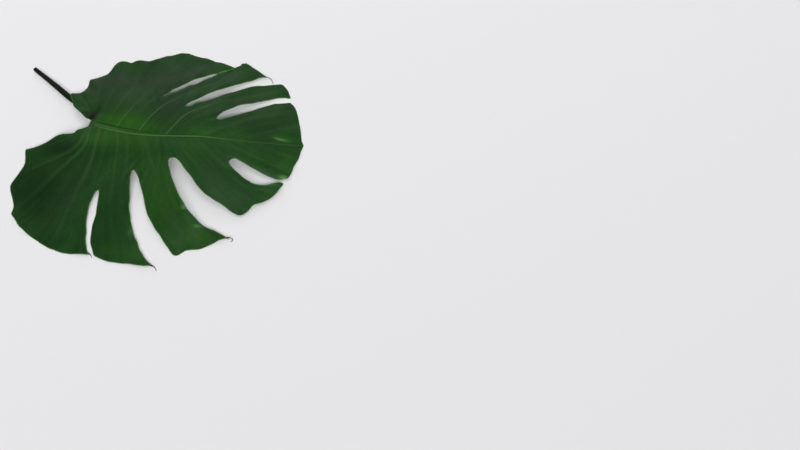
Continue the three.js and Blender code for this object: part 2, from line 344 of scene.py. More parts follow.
# Midrib: widths of its lines, and between which fractions of its length a line goes from one strength to
# another
RIB_LINE_WIDTHS = (0.0003, 0.0013)
RIB_LINE_GROWS = (0.03, 0.2, 0.25, 0.5)
RIB_LINE_FADES = (0.5, 0.8, 1.0, 0.25)
RIB_MIDDLE_WIDTHS = (0.0002, 0.0011)
RIB_MIDDLE_FADES = (0.15, 0.3, 0.3, 0.0)
CREASE_WIDTHS = (0.0003, 0.0014)
CREASE_FADES = (0.30, 0.42, 0.8, 0.0)

# Upper side
BROAD_SCALE = 14
BROAD_STREAKS = (7, 14)
BROAD_STREAK_TONES = (0.90, 1.10)
MOTTLE_SCALE = 210
MOTTLE_TONES = (0.93, 1.07)
EDGE_WIDTHS = (0.0004, 0.0014)
EDGE_STRENGTH = 0.6
GLOSS_SCALE = 45
GLOSS_DETAIL = 4
UPPER_ROUGHNESS = (0.38, 0.52)
WAX_SHINE = 0.135
FINE_STREAKS = (60, 30)
FINE_STREAK_RELIEF = 0.5
GRAIN_SCALE = 900
GRAIN_RELIEF = 0.3
UPPER_BUMP = (0.0002, 0.6)

# Underside and rim
UNDERSIDE_SCALE = 30
UNDERSIDE_GLOSS_SCALE = 80
UNDERSIDE_ROUGHNESS = (0.55, 0.7)
UNDERSIDE_SHINE = 0.3
UNDERSIDE_GRAIN_SCALE = 700
UNDERSIDE_BUMP = (0.0003, 0.6)
RIM_SCALE = 60
RIM_ROUGHNESS = (0.45, 0.6)
RIM_BUMP = (0.0001, 0.4)

# Stalk and its cut end
STREAK_LENGTH = 0.05
STREAK_WIDTH = 0.0012
RIB_TONE_REACH = (0.01, 0.02)
STALK_ROUGHNESS = (0.5, 0.62)
STALK_SHINE = 0.04
STALK_BUMP = (0.0003, 0.7)
VESSEL_SCALE = 1400
VESSEL_WIDTHS = (0.15, 0.45)
CUT_ROUGHNESS = (0.7, 0.5)
CUT_BUMP = (0.0003, 0.6)

# Floor and light
FLOOR_SIZE = 60
FLOOR_COLOUR = (0.815, 0.81, 0.825, 1)
FLOOR_ROUGHNESS = 0.9
FLOOR_SHINE = 0.1
ROOM_COLOUR = (1, 1, 1, 1)
ROOM_LIGHT = 0.06
ROOM_LOOK = 0.8
# Far lamps: direction, spread in degrees and strength
FAR_LAMPS = {
    "front_lamp": ((0.45, -0.78, 1.0), 10, 1.32),
    "low_lamp": ((0.2, -1.13, 1.0), 16, 0.90),
    "top_lamp": ((0.2, -0.1, 1.0), 40, 0.90),
}
# Near lamps: place, size and power in watts
NEAR_LAMPS = {
    "left_lamp": ((-1.86, -0.50, 2.30), 1.2, 5),
    "back_lamp": ((-0.4, 2.6, 1.6), 3.0, 28),
}

# Places of the colour sockets on a mix node
MIX_FIRST = 6
MIX_SECOND = 7
MIX_RESULT = 2

cad_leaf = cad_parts[NODE]
LEAF_TIP = max((vertex.co for vertex in cad_leaf.data.vertices), key=lambda place: place.x)
JOINT = Vector((LEAF_TIP.x - BLADE_LENGTH, LEAF_TIP.y, 0))


# Points of a smooth curve through the given ones
def smooth_line(points, steps=LINE_STEPS):
    knots = np.array(points, float)
    knots = np.vstack([2 * knots[0] - knots[1], knots, 2 * knots[-1] - knots[-2]])
    line = []
    for a, b, c, d in zip(knots, knots[1:], knots[2:], knots[3:]):
        for t in np.arange(steps) / steps:
            line.append(0.5 * (2 * b + (c - a) * t + (2 * a - 5 * b + 4 * c - d) * t ** 2
                               + (3 * b - a - 3 * c + d) * t ** 3))
    line.append(knots[-2])
    return np.array(line)


# Value at a place between rows of (place, value)
def graded(rows, place):
    places, values = zip(*rows)
    return np.interp(place, places, values)


def smooth_step(low, high, value):
    share = np.clip((value - low) / (high - low), 0, 1)
    return share * share * (3 - 2 * share)


# Soft oval patches, each of (strength, middle, half-widths), at plan points
def patches(rows, plan):
    share = np.zeros(len(plan))
    for strength, middle, half_widths in rows:
        off = (plan - middle) / half_widths
        share = share + strength * np.exp(-(off ** 2).sum(1))
    return np.minimum(share, 1)


# Signed distance of plan points from a line, positive on its left, and the fraction of the way along it
def distance_from(line, plan):
    best = np.full(len(plan), np.inf)
    signed = np.zeros(len(plan))
    fraction = np.zeros(len(plan))
    for index, (a, b) in enumerate(zip(line, line[1:])):
        along = b - a
        out = plan - a
        share = np.clip(out @ along / (along @ along), 0, 1)
        distance = np.hypot(*(out - np.outer(share, along)).T)
        nearer = distance < best
        side = np.sign(along[0] * out[:, 1] - along[1] * out[:, 0])
        best = np.where(nearer, distance, best)
        signed = np.where(nearer, distance * side, signed)
        fraction = np.where(nearer, (index + share) / (len(line) - 1), fraction)
    return signed, fraction


# Line of a side vein, carried on past the margin
def vein_line(points):
    line = smooth_line(points)
    onward = line[-1] - line[-2]
    onward = onward / np.linalg.norm(onward) * VEIN_OVERRUN
    return np.vstack([line, line[-1] + onward])


# Place between the side veins of one half: whole numbers on the veins, with the gap between the two
# nearest veins, and how strongly the nearest one's line and band show
def between_veins(veins, plan, tip_side):
    sides = [tip_side * distance_from(vein_line(points), plan)[0] for _, _, points in veins]
    phase = np.minimum(sides[0] / OUTER_GAP, 0)
    gap = np.full(len(plan), OUTER_GAP)
    for before, after in zip(sides, sides[1:]):
        between = before / np.maximum(before - after, SMALLEST_GAP)
        share = np.where(after >= 0, 1, np.where(before <= 0, 0, between))
        phase = phase + share
        inside = (before > 0) & (after < 0)
        gap = np.where(inside, before - after, gap)
    phase = phase + np.maximum(sides[-1] / OUTER_GAP, 0)
    nearest = np.clip(np.round(phase), 0, len(veins) - 1).astype(int)
    line = np.array([line for line, _, _ in veins])[nearest]
    band = np.array([band for _, band, _ in veins])[nearest]
    return phase, gap, line, band


# What the relief and the materials need to know of each plan point
def leaf_fields(places):
    plan = places[:, :2] - np.array(JOINT.xy)
    rib_side, rib_along = distance_from(smooth_line(MIDRIB_POINTS), plan)
    upper = np.where(rib_along > 0, rib_side > 0, plan[:, 1] > NOTCH_PARTING)
    from_upper = between_veins(UPPER_VEINS, plan, -1)
    from_lower = between_veins(LOWER_VEINS, plan, 1)
    phase, gap, line, band = [np.where(upper, *pair) for pair in zip(from_upper, from_lower)]
    return {
        "plan": plan,
        "rib_side": rib_side,
        "rib_along": rib_along,
        "rib_line": rib_side - graded(RIB_LINE_OFFSETS, rib_along),
        "rib_crease": rib_side - graded(CREASE_OFFSETS, rib_along),
        "vein_phase": phase,
        "vein_gap": gap,
        "vein_line": line,
        "vein_band": band,
        "vein_out": np.abs(rib_side),
    }


# Upper side of the CAD blade, as a mesh of its own
def cad_upper_side():
    mesh = bmesh.new()
    mesh.from_mesh(cad_leaf.data)
    bmesh.ops.remove_doubles(mesh, verts=mesh.verts, dist=MERGE_DISTANCE)
    mesh.normal_update()
    turned_away = [face for face in mesh.faces if face.normal.z < TOP_FACING]
    bmesh.ops.delete(mesh, geom=turned_away, context="FACES")
    keep_largest_island(mesh)
    return mesh


# Removes all but the largest group of joined faces; dictionaries keep their order, so each run is alike
def keep_largest_island(mesh):
    waiting = dict.fromkeys(mesh.faces)
    islands = []
    while waiting:
        island = []
        front = [waiting.popitem()[0]]
        while front:
            face = front.pop()
            island.append(face)
            for edge in face.edges:
                for neighbour in edge.link_faces:
                    if neighbour in waiting:
                        del waiting[neighbour]
                        front.append(neighbour)
        islands.append(island)
    islands.sort(key=lambda island: sum(face.calc_area() for face in island))
    stray = [face for island in islands[:-1] for face in island]
    bmesh.ops.delete(mesh, geom=stray, context="FACES")


# Flat face inside the rim of the upper side, with the rim's points evenly spread and rounded
def flat_outline(upper_side):
    mesh = upper_side.copy()
    inner = [edge for edge in mesh.edges if not edge.is_boundary]
    bmesh.ops.delete(mesh, geom=mesh.faces[:], context="FACES_ONLY")
    bmesh.ops.delete(mesh, geom=inner, context="EDGES")
    for vertex in mesh.verts:
        vertex.co.z = 0
    bmesh.ops.dissolve_limit(mesh, angle_limit=RIM_STRAIGHT, verts=mesh.verts, edges=mesh.edges)
    for edge in mesh.edges[:]:
        cuts = int(edge.calc_length() / RIM_STEP)
        if cuts > 0:
            bmesh.ops.subdivide_edges(mesh, edges=[edge], cuts=cuts)
    for _ in range(RIM_SMOOTHING):
        bmesh.ops.smooth_vert(mesh, verts=mesh.verts, factor=SMOOTHING_FACTOR,
                              use_axis_x=True, use_axis_y=True, use_axis_z=False)
    seed_set(RIM_UNEVENNESS_SEED)
    for vertex in mesh.verts:
        from_joint = vertex.co - JOINT
        unevenness = noise_vector(from_joint * RIM_UNEVENNESS_SCALE)
        vertex.co.xy += unevenness.xy * graded(RIM_UNEVENNESS, from_joint.length)
        for middle, half_widths, shift in NUDGES:
            off = vertex.co.xy - JOINT.xy - Vector(middle)
            share = math.exp(-(off.x / half_widths[0]) ** 2 - (off.y / half_widths[1]) ** 2)
            vertex.co.xy += share * Vector(shift)
    bmesh.ops.edgeloop_fill(mesh, edges=mesh.edges)
    return mesh


# Cuts a flat mesh into square cells, and into finer ones along the midrib
def cut_into_cells(mesh):
    for axis in (Vector((1, 0, 0)), Vector((0, 1, 0))):
        along = [vertex.co.dot(axis) for vertex in mesh.verts]
        steps = int((max(along) - min(along)) / CELL)
        for step in range(1, steps + 1):
            place = axis * (min(along) + step * CELL)
            everything = mesh.verts[:] + mesh.edges[:] + mesh.faces[:]
            bmesh.ops.bisect_plane(mesh, geom=everything, dist=CUT_TOLERANCE, plane_co=place, plane_no=axis)
    midrib = smooth_line(MIDRIB_POINTS)
    middles = np.array([(edge.verts[0].co + edge.verts[1].co) / 2 for edge in mesh.edges])
    beside = np.abs(distance_from(midrib, middles[:, :2] - np.array(JOINT.xy))[0]) < REFINED_BAND
    near_edges = [edge for edge, near in zip(mesh.edges, beside) if near and not edge.is_boundary]
    bmesh.ops.subdivide_edges(mesh, edges=near_edges, cuts=1, use_grid_fill=True)
    many_sided = [face for face in mesh.faces if len(face.verts) > 4]
    bmesh.ops.triangulate(mesh, faces=many_sided)


# Lays a flat mesh on the CAD surface and smooths out that surface's facets
def lay_on(mesh, upper_side):
    surface = BVHTree.FromBMesh(upper_side)
    ceiling = CAD_BOX[1][2] + HIGH_ABOVE
    for vertex in mesh.verts:
        above = Vector((vertex.co.x, vertex.co.y, ceiling))
        place = surface.ray_cast(above, -UP)[0]
        if place is None:
            place = surface.find_nearest(vertex.co + NEAR_SURFACE * UP)[0]
        vertex.co.z = place.z
    for _ in range(SURFACE_SMOOTHING):
        bmesh.ops.smooth_vert(mesh, verts=mesh.verts, factor=SMOOTHING_FACTOR,
                              use_axis_x=False, use_axis_y=False, use_axis_z=True)


# Search tree of places
def tree_of(places):
    tree = KDTree(len(places))
    for index, place in enumerate(places):
        tree.insert(place, index)
    tree.balance()
    return tree


# Search tree of the blade's rim
def rim_of(mesh):
    return tree_of([vertex.co.copy() for vertex in mesh.verts if vertex.is_boundary])


# How deep in the fold beside the joint plan points lie, 0 to 1; this also sets how strongly painted shade
# darkens it
def joint_fold(plan):
    side, along = distance_from(smooth_line(FOLD_POINTS), plan)
    return np.exp(-(side / FOLD_WIDTH) ** 2) * (1 - FOLD_FADING * smooth_step(*FOLD_FADES, along))


# Works midrib channel, vein grooves, raised panels and rippled margin into the upper side
def shape_relief(mesh, rim_tree):
    places = np.array([vertex.co for vertex in mesh.verts])
    fields = leaf_fields(places)
    rim = np.array([rim_tree.find(place)[2] for place in places])
    along = fields["rib_along"]
    rib_line = graded(RIB_LINE_RISES, along) * np.exp(-(fields["rib_line"] / RIB_LINE_WIDTH) ** 2)
    crease = graded(CREASE_DEPTHS, along) * np.exp(-(fields["rib_crease"] / RIB_LINE_WIDTH) ** 2)
    band = fields["rib_line"] / (fields["rib_line"] - fields["rib_crease"])
    hollow = BAND_HOLLOW * np.sin(math.pi * np.clip(band, 0, 1)) * smooth_step(*BAND_SHOWS, along)
    relief = smooth_step(0, RIB_START, along) * (rib_line - crease - hollow)

    from_vein = np.abs(fields["vein_phase"] - np.round(fields["vein_phase"])) * fields["vein_gap"]
    clear_of_rib = smooth_step(*CLEAR_OF_RIB, fields["vein_out"])
    clear_of_rim = smooth_step(*CLEAR_OF_RIM, rim)
    groove = np.exp(-(from_vein / VEIN_GROOVE_WIDTH) ** 2) * fields["vein_band"]
    share = fields["vein_phase"] - np.floor(fields["vein_phase"])
    panel = np.sin(math.pi * share) * np.minimum(fields["vein_gap"] / PANEL_GAP, 1)
    relief += clear_of_rib * clear_of_rim * (PANEL_RISE * panel - VEIN_GROOVE_DEPTH * groove)

    plan = fields["plan"]
    out = plan - MARGIN_RIPPLE_CENTRE
    angle = np.arctan2(out[:, 1], out[:, 0])
    ripple = np.sin(MARGIN_RIPPLE_COUNT * angle)
    ripple += SECOND_RIPPLE * np.sin(SECOND_RIPPLE_COUNT * angle + SECOND_RIPPLE_START)
    relief += MARGIN_RIPPLE * ripple * np.exp(-rim / MARGIN_RIPPLE_REACH)
    relief -= MARGIN_ROLL * np.exp(-rim / MARGIN_ROLL_REACH)
    relief += DENT_HEIGHT * (patches(BULGES, plan) - patches(DENTS, plan))
    relief -= FOLD_DEPTH * joint_fold(plan)

    for vertex, rise in zip(mesh.verts, relief):
        vertex.co.z = max(vertex.co.z + rise, LOWEST)


# Laps the lobe on the base side of the first slot over its neighbour at the slot's mouth
def lap_first_slot(mesh):
    line = smooth_line(FIRST_SLOT_POINTS)
    plan = np.array([vertex.co.xy for vertex in mesh.verts]) - np.array(JOINT.xy)
    side, along = distance_from(line, plan)
    share = np.where(side > 0, smooth_step(*LAP_GROWS, along) * np.exp(-side / LAP_SPREAD), 0)
    outward = Vector((*(line[-1] - line[0]), 0)).normalized()
    over = outward.cross(UP)
    for vertex, part in zip(mesh.verts, share):
        vertex.co += over * (part * LAP) - UP * (part * LAP_SINK)
        vertex.co.z = max(vertex.co.z, LOWEST)


# Ring of a tube round its path; shape moves its points in the ring's own plane, with y upwards
def tube_ring(mesh, centre, tangent, radius, shape):
    across = tangent.cross(UP).normalized()
    turn = Matrix((across, across.cross(tangent), tangent)).transposed().to_4x4()
    ring = bmesh.ops.create_circle(mesh, segments=STEM_SIDES, radius=radius)["verts"]
    edges = list(dict.fromkeys(edge for vertex in ring for edge in vertex.link_edges))
    for vertex in ring:
        shape(vertex.co, radius)
    bmesh.ops.transform(mesh, matrix=Matrix.Translation(centre) @ turn, verts=ring)
    return edges


# Closed tube through stations of (centre, radius, shape); gives its two end faces
def make_tube(mesh, stations):
    centres = [centre for centre, _, _ in stations]
    before = [centres[0]] + centres[:-1]
    after = centres[1:] + [centres[-1]]
    rings = []
    for (centre, radius, shape), earlier, later in zip(stations, before, after):
        rings.append(tube_ring(mesh, centre, (later - earlier).normalized(), radius, shape))
    for ring, following in zip(rings, rings[1:]):
        bmesh.ops.bridge_loops(mesh, edges=ring + following)
    return [bmesh.ops.edgeloop_fill(mesh, edges=ring)["faces"][0] for ring in (rings[0], rings[-1])]


# Section of the stem: grooved on top where it is free, flat on top where it is a rib under the blade
def stem_section(ribness):
    flatness = 1 - ribness * (1 - RIB_FLATTENING)
    groove = STALK_GROOVE * (1 - ribness)

    def shape(place, radius):
        if place.y > 0:
            place.y *= flatness
            place.y -= groove * radius * math.exp(-(place.x / (STALK_GROOVE_WIDTH * radius)) ** 2)

    return shape


# Highest that the middle of a stalk may lie where the blade passes over it
def under_blade(blade_surface, place, radius):
    highest = math.inf
    for side in (-1, 0, 1):
        above = Vector((place.x + side * radius, place.y + side * radius, HIGH_ABOVE))
        surface = blade_surface.ray_cast(above, -UP)[0]
        if surface is not None:
            highest = min(highest, surface.z - BLADE_THICKNESS - radius - STALK_CLEARANCE)
    return max(highest, radius + TABLE_CLEARANCE)


# Stalk from its cut end to the joint, and the rib under the blade to near the leaf tip
def stem_stations(blade_surface):
    stations = []
    stalk = smooth_line(STALK_POINTS)
    for share, place in zip(np.linspace(0, 1, len(stalk)), stalk):
        section = stem_section(smooth_step(STALK_KNEE, 1, share))
        radius = graded(STALK_RADII, share)
        centre = JOINT + Vector(place)
        centre.z = min(centre.z, under_blade(blade_surface, centre, radius))
        stations.append((centre, radius, section))
    midrib = smooth_line(MIDRIB_POINTS)
    for share, place in zip(np.linspace(0, 1, len(midrib)), midrib):
        if RIB_START < share < RIB_END:
            radius = graded(RIB_RADII, share)
            surface = blade_surface.ray_cast(JOINT + Vector((*place, HIGH_ABOVE)), -UP)[0]
            centre = surface - UP * (RIB_BITE + RIB_FLATTENING * radius)
            stations.append((centre, radius, stem_section(1)))
    return stations


# Section of a lobe tip, which stays round
def round_section(place, radius):
    pass


# Thin dry tip, curling off the end of a lobe
def tendril_stations(blade_surface, points):
    line = smooth_line(points)
    surface = blade_surface.find_nearest(JOINT + Vector((*points[0], NEAR_SURFACE)))[0]
    stations = []
    for share, place in zip(np.linspace(0, 1, len(line)), line):
        rise = TENDRIL_RISE * math.sin(math.pi * share)
        height = surface.z * (1 - share) + TENDRIL_END_HEIGHT * share + rise - BLADE_THICKNESS / 2
        radius = graded(TENDRIL_RADII, share)
        centre = Vector((JOINT.x + place[0], JOINT.y + place[1], max(height, radius + TABLE_CLEARANCE)))
        stations.append((centre, radius, round_section))
    return stations


# Stem and lobe tips as one mesh, with the stalk's cut face in a finish of its own
def make_stem(blade_surface):
    mesh = bmesh.new()
    cut_face = make_tube(mesh, stem_stations(blade_surface))[0]
    for face in mesh.faces:
        face.material_index = STALK_FINISH
    rim = bmesh.ops.inset_region(mesh, faces=[cut_face], thickness=CUT_RIM, depth=-CUT_HOLLOW)["faces"]
    for face in rim + [cut_face]:
        face.material_index = CUT_FINISH
    for points in TENDRILS:
        so_far = len(mesh.faces)
        make_tube(mesh, tendril_stations(blade_surface, points))
        mesh.faces.ensure_lookup_table()
        for face in mesh.faces[so_far:]:
            face.material_index = STALK_FINISH
    bmesh.ops.recalc_face_normals(mesh, faces=mesh.faces)
    bmesh.ops.triangulate(mesh, faces=mesh.faces)
    return mesh


# Object in the scene that holds a bmesh
def new_object(name, mesh, materials):
    data = bpy.data.meshes.new(name)
    mesh.to_mesh(data)
    mesh.free()
    for material in materials:
        data.materials.append(material)
    made = bpy.data.objects.new(name, data)
    bpy.context.scene.collection.objects.link(made)
    return made


# Blade with its thickness, joined with stem and lobe tips into one closed skin, without the tiny hollows
# that are left between rib and blade
def join_leaf(blade, stem):
    thickness = blade.modifiers.new("thickness", "SOLIDIFY")
    thickness.thickness = BLADE_THICKNESS
    thickness.offset = -1
    thickness.material_offset = UNDERSIDE_FINISH
    thickness.material_offset_rim = RIM_FINISH
    blade.modifiers.new("flat_faces", "TRIANGULATE")
    union = blade.modifiers.new("stem", "BOOLEAN")
    union.operation = "UNION"
    union.solver = "MANIFOLD"
    union.object = stem
    finished = blade.evaluated_get(bpy.context.evaluated_depsgraph_get())
    data = bpy.data.meshes.new_from_object(finished)
    skin = bmesh.new()
    skin.from_mesh(data)
    keep_largest_island(skin)
    skin.to_mesh(data)
    skin.free()
    blade.modifiers.clear()
    blade.data = data
    bpy.data.objects.remove(stem)


# Gives every vertex the fields that the materials read
def store_fields(leaf, rim_tree):
    places = np.array([vertex.co for vertex in leaf.data.vertices])
    fields = leaf_fields(places)
    fields["rim"] = np.array([rim_tree.find(place)[2] for place in places])
    fields["fold"] = joint_fold(fields["plan"])
    for name, rows in PATCH_FIELDS.items():
        fields[name] = patches(rows, fields["plan"])
    for name in ATTRIBUTES:
        attribute = leaf.data.attributes.new(name, "FLOAT", "POINT")
        attribute.data.foreach_set("value", fields[name].astype(np.float32))


# Lets lobes down towards the table along the camera's line of sight, so that their outline in the picture
# stays, and by the height of the upper side, so that their thickness stays
def settle_lobes(leaf, upper_tree):
    places = np.array([vertex.co for vertex in leaf.data.vertices])
    heights = np.array([upper_tree.find(place)[0].z for place in places])
    loss = patches(SETTLED_LOBES, places[:, :2] - np.array(JOINT.xy))
    drop = np.clip(loss * (heights - LOWEST), 0, places[:, 2] - TABLE_CLEARANCE)
    sight = places - np.array(bpy.context.scene.camera.location)
    places -= sight * (drop / sight[:, 2])[:, None]
    leaf.data.vertices.foreach_set("co", places.astype(np.float32).ravel())


def make_leaf():
    upper_side = cad_upper_side()
    blade = flat_outline(upper_side)
    cut_into_cells(blade)
    lay_on(blade, upper_side)
    shape_relief(blade, rim_of(blade))
    lap_first_slot(blade)
    rim_tree = rim_of(blade)
    upper_tree = tree_of([vertex.co.copy() for vertex in blade.verts])
    bmesh.ops.recalc_face_normals(blade, faces=blade.faces)
    if sum(face.normal.z for face in blade.faces) < 0:
        bmesh.ops.reverse_faces(blade, faces=blade.faces)
    stem = make_stem(BVHTree.FromBMesh(blade))
    materials = leaf_materials()
    leaf = new_object("leaf", blade, materials)
    join_leaf(leaf, new_object("stem", stem, materials))
    store_fields(leaf, rim_tree)
    settle_lobes(leaf, upper_tree)
    leaf.data.polygons.foreach_set("use_smooth", [True] * len(leaf.data.polygons))
    leaf.data.set_sharp_from_angle(angle=SHARP_ANGLE)
    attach(leaf, "root")
    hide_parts(NODE)


# Linear light from a share of a picture's brightest level, by the sRGB curve
def linear(share):
    if share < 0.04045:
        return share / 12.92
    return ((share + 0.055) / 1.055) ** 2.4


# Colour for the shaders from a picture colour of 0 to 255
def colour(*levels):
    return [linear(level / 255) for level in levels] + [1]


# Material with its node tree and its shader
def new_material(name):
    material = bpy.data.materials.new(name)
    material.use_nodes = True
    return material, material.node_tree, material.node_tree.nodes["Principled BSDF"]


# Links a socket to another, or sets its value
def feed(tree, socket, value):
    if isinstance(value, bpy.types.NodeSocket):
        tree.links.new(value, socket)
    else:
        socket.default_value = value


# Field that is stored on the leaf's vertices
def field(tree, name):
    node = tree.nodes.new("ShaderNodeAttribute")
    node.attribute_name = name
    return node.outputs["Fac"]


def calculated(tree, operation, *values):
    node = tree.nodes.new("ShaderNodeMath")
    node.operation = operation
    for socket, value in zip(node.inputs, values):
        feed(tree, socket, value)
    return node.outputs["Value"]


# Goes smoothly from start to end while the value goes from low to high
def ranged(tree, value, low, high, start=0.0, end=1.0):
    node = tree.nodes.new("ShaderNodeMapRange")
    node.interpolation_type = "SMOOTHSTEP"
    names = ("Value", "From Min", "From Max", "To Min", "To Max")
    for name, number in zip(names, (value, low, high, start, end)):
        feed(tree, node.inputs[name], number)
    return node.outputs["Result"]


def blended(tree, share, first, second, way="MIX"):
    node = tree.nodes.new("ShaderNodeMix")
    node.data_type = "RGBA"
    node.blend_type = way
    feed(tree, node.inputs["Factor"], share)
    feed(tree, node.inputs[MIX_FIRST], first)
    feed(tree, node.inputs[MIX_SECOND], second)
    return node.outputs[MIX_RESULT]


def object_place(tree, turn=0.0, scale=(1, 1, 1)):
    place = tree.nodes.new("ShaderNodeTexCoord").outputs["Object"]
    mapping = tree.nodes.new("ShaderNodeMapping")
    mapping.vector_type = "TEXTURE"
    mapping.inputs["Rotation"].default_value[2] = turn
    mapping.inputs["Scale"].default_value = scale
    tree.links.new(place, mapping.inputs["Vector"])
    return mapping.outputs["Vector"]


def noise(tree, place, scale, detail=2.0):
    node = tree.nodes.new("ShaderNodeTexNoise")
    node.inputs["Scale"].default_value = scale
    node.inputs["Detail"].default_value = detail
    tree.links.new(place, node.inputs["Vector"])
    return node.outputs["Fac"]


def bumped(tree, shader, height, distance, strength):
    node = tree.nodes.new("ShaderNodeBump")
    node.inputs["Strength"].default_value = strength
    node.inputs["Distance"].default_value = distance
    tree.links.new(height, node.inputs["Height"])
    tree.links.new(node.outputs["Normal"], shader.inputs["Normal"])


# How far a spot is from the nearest side vein
def vein_distance(tree):
    phase = field(tree, "vein_phase")
    nearest = calculated(tree, "ROUND", phase)
    off = calculated(tree, "ABSOLUTE", calculated(tree, "SUBTRACT", phase, nearest))
    return calculated(tree, "MULTIPLY", off, field(tree, "vein_gap"))


# Line or band along the side veins, fading outwards
def along_veins(tree, strength, widths, fades):
    close = ranged(tree, vein_distance(tree), *widths, 1.0, 0.0)
    clear_of_rib = ranged(tree, field(tree, "vein_out"), *VEIN_CLEAR_OF_RIB)
    faded = ranged(tree, field(tree, "vein_out"), *fades, 1.0, VEIN_END_STRENGTH)
    share = calculated(tree, "MULTIPLY", close, field(tree, strength))
    return calculated(tree, "MULTIPLY", calculated(tree, "MULTIPLY", share, faded), clear_of_rib)


# Streaks that run out along the side veins
def vein_streaks(tree, across, along):
    place = tree.nodes.new("ShaderNodeCombineXYZ")
    feed(tree, place.inputs["X"], calculated(tree, "MULTIPLY", field(tree, "vein_phase"), across))
    feed(tree, place.inputs["Y"], calculated(tree, "MULTIPLY", field(tree, "vein_out"), along))
    feed(tree, place.inputs["Z"], calculated(tree, "SIGN", field(tree, "rib_side")))
    return noise(tree, place.outputs["Vector"], 1.0, ROUGH_DETAIL)


# Line along the midrib
def along_midrib(tree, name, widths):
    return ranged(tree, calculated(tree, "ABSOLUTE", field(tree, name)), *widths, 1.0, 0.0)


# Pale lines of the midrib, partly its paler tissue and partly painted highlight on its lit shoulder, and
# painted shade in the crease beside them near the base
def midrib_tint(tree, green):
    along = field(tree, "rib_along")
    on_blade = ranged(tree, along, *ON_BLADE)
    fading = calculated(tree, "MULTIPLY", ranged(tree, along, *RIB_LINE_GROWS),
                        ranged(tree, along, *RIB_LINE_FADES))
    line = calculated(tree, "MULTIPLY", along_midrib(tree, "rib_line", RIB_LINE_WIDTHS), fading)
    green = blended(tree, calculated(tree, "MULTIPLY", line, on_blade), green, colour(*RIB_PALE))
    middle = calculated(tree, "MULTIPLY", along_midrib(tree, "rib_side", RIB_MIDDLE_WIDTHS),
                        ranged(tree, along, *RIB_MIDDLE_FADES))
    green = blended(tree, calculated(tree, "MULTIPLY", middle, on_blade), green, colour(*RIB_PALE))
    crease = calculated(tree, "MULTIPLY", along_midrib(tree, "rib_crease", CREASE_WIDTHS),
                        ranged(tree, along, *CREASE_FADES))
    return blended(tree, calculated(tree, "MULTIPLY", crease, on_blade), green, colour(*GREEN_DARK))


# Waxy upper side: deep green, fresher green near the base with painted highlight in part, painted shade in
# some darker patches, with fine pale veins
def upper_side_material():
    material, tree, shader = new_material("leaf_upper_side")
    place = object_place(tree)
    broad = ranged(tree, noise(tree, place, BROAD_SCALE, ROUGH_DETAIL), *STEEP_NOISE)
    green = blended(tree, broad, colour(*GREEN_DEEP), colour(*GREEN_MIDDLE))
    # Lighter green patches, in part painted highlight; darker patches, some of them painted shade
    for name, tint in (("fresh_and_lit", GREEN_FRESH_AND_LIT), ("dark", GREEN_DARK)):
        green = blended(tree, field(tree, name), green, colour(*tint))
    streaks = ranged(tree, vein_streaks(tree, *BROAD_STREAKS), *SOFT_NOISE, *BROAD_STREAK_TONES)
    mottle = ranged(tree, noise(tree, place, MOTTLE_SCALE, ROUGH_DETAIL), *SOFT_NOISE, *MOTTLE_TONES)
    shade = calculated(tree, "MULTIPLY", streaks, mottle)
    grey = tree.nodes.new("ShaderNodeCombineColor")
    for name in ("Red", "Green", "Blue"):
        feed(tree, grey.inputs[name], shade)
    green = blended(tree, 1.0, green, grey.outputs["Color"], "MULTIPLY")
    # Soft pale band along the side veins: painted highlight on their ridges
    band = along_veins(tree, "vein_band", HALO_WIDTHS, HALO_FADES)
    green = blended(tree, calculated(tree, "MULTIPLY", band, HALO_STRENGTH), green, colour(*VEIN_PAINTED_HIGHLIGHT))
    line = along_veins(tree, "vein_line", VEIN_WIDTHS, VEIN_FADES)
    green = blended(tree, calculated(tree, "MULTIPLY", line, VEIN_STRENGTH), green, colour(*VEIN_PALE))
    green = midrib_tint(tree, green)
    # Brown of the joint, painted shade in the fold beside it, and painted highlights (glints)
    for name, tint in (("joint", JOINT_BROWN), ("fold", FOLD_PAINTED_SHADE), ("glint", GLINT_GREEN)):
        green = blended(tree, field(tree, name), green, colour(*tint))
    edge = ranged(tree, field(tree, "rim"), *EDGE_WIDTHS, EDGE_STRENGTH, 0.0)
    green = blended(tree, edge, green, colour(*RIM_PALE))
    feed(tree, shader.inputs["Base Color"], green)
    gloss = ranged(tree, noise(tree, place, GLOSS_SCALE, GLOSS_DETAIL), *SOFT_NOISE, *UPPER_ROUGHNESS)
    feed(tree, shader.inputs["Roughness"], gloss)
    shader.inputs["Specular IOR Level"].default_value = WAX_SHINE
    fine = calculated(tree, "MULTIPLY", vein_streaks(tree, *FINE_STREAKS), FINE_STREAK_RELIEF)
    grain = calculated(tree, "MULTIPLY", noise(tree, place, GRAIN_SCALE), GRAIN_RELIEF)
    height = calculated(tree, "SUBTRACT", calculated(tree, "ADD", fine, grain), line)
    bumped(tree, shader, height, *UPPER_BUMP)
    return material


